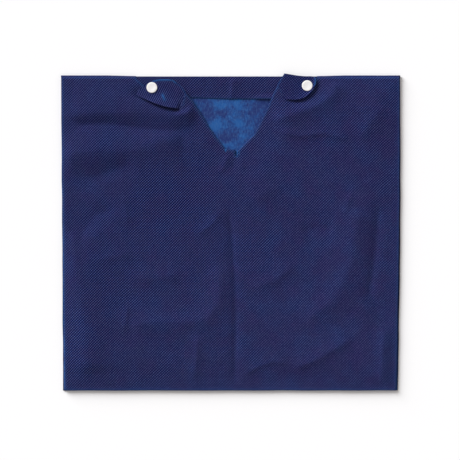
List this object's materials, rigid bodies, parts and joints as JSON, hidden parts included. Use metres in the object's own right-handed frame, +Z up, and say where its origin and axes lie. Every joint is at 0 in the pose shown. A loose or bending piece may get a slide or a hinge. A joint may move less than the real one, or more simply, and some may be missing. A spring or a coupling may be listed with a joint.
{
  "type": "lead apron",
  "caption": "Slip-over X-ray protective apron laid flat: front and back panels with sheet cores, V neck, and a snapped tab at each shoulder.",
  "frame": {"origin": "centre of the flat outline, on the surface that the apron lies on", "axes": "+Z up out of the front face, +Y from the hem to the neck, +X to the right as seen from above"},
  "size_m": [0.542, 0.504, 0.0084],
  "materials": {
    "cover_fabric": "matte navy nonwoven with a fine diagonal emboss",
    "lining_fabric": "matte mid-blue nonwoven, plain side",
    "lead_vinyl": "matte",
    "stiffener": "matte",
    "seam_tape": "matte",
    "snap_plastic": "satin"
  },
  "bodies": {
    "back_panel": {"back_cover": "cover_fabric", "back_outer_ply": "lead_vinyl", "back_inner_ply": "lead_vinyl", "back_seam_tape": "seam_tape", "back_lining": "lining_fabric", "back_neck_band": "cover_fabric", "back_neck_fold": "cover_fabric", "left_shoulder_fold": "cover_fabric", "right_shoulder_fold": "cover_fabric", "left_snap_stud": "snap_plastic", "left_snap_stud_base": "snap_plastic", "right_snap_stud": "snap_plastic", "right_snap_stud_base": "snap_plastic"},
    "front_panel": {"front_cover": "cover_fabric", "front_outer_ply": "lead_vinyl", "front_inner_ply": "lead_vinyl", "front_seam_tape": "seam_tape", "front_lining": "lining_fabric", "left_tab_root": "cover_fabric", "right_tab_root": "cover_fabric"},
    "left_tab": {"left_tab_face": "cover_fabric", "left_tab_stiffener": "stiffener", "left_tab_lining": "lining_fabric", "left_snap_cap": "snap_plastic", "left_snap_socket": "snap_plastic"},
    "right_tab": {"right_tab_face": "cover_fabric", "right_tab_stiffener": "stiffener", "right_tab_lining": "lining_fabric", "right_snap_cap": "snap_plastic", "right_snap_socket": "snap_plastic"}
  },
  "joints": [
    {"name": "front_panel_swing", "type": "hinge", "parent": "back_panel", "child": "front_panel", "pos_m": [0, 0.2496, 0.0024], "axis": [-1, 0, 0], "range_deg": [0, 180], "deforming": ["left_shoulder_fold", "right_shoulder_fold"]},
    {"name": "left_tab_lift", "type": "hinge", "parent": "front_panel", "child": "left_tab", "pos_m": [-0.079, 0.199, 0.0071], "axis": [0.2169, 0.9762, 0], "range_deg": [0, 165]},
    {"name": "right_tab_lift", "type": "hinge", "parent": "front_panel", "child": "right_tab", "pos_m": [0.085, 0.214, 0.0071], "axis": [0.3818, -0.9243, 0], "range_deg": [0, 165]}
  ]
}
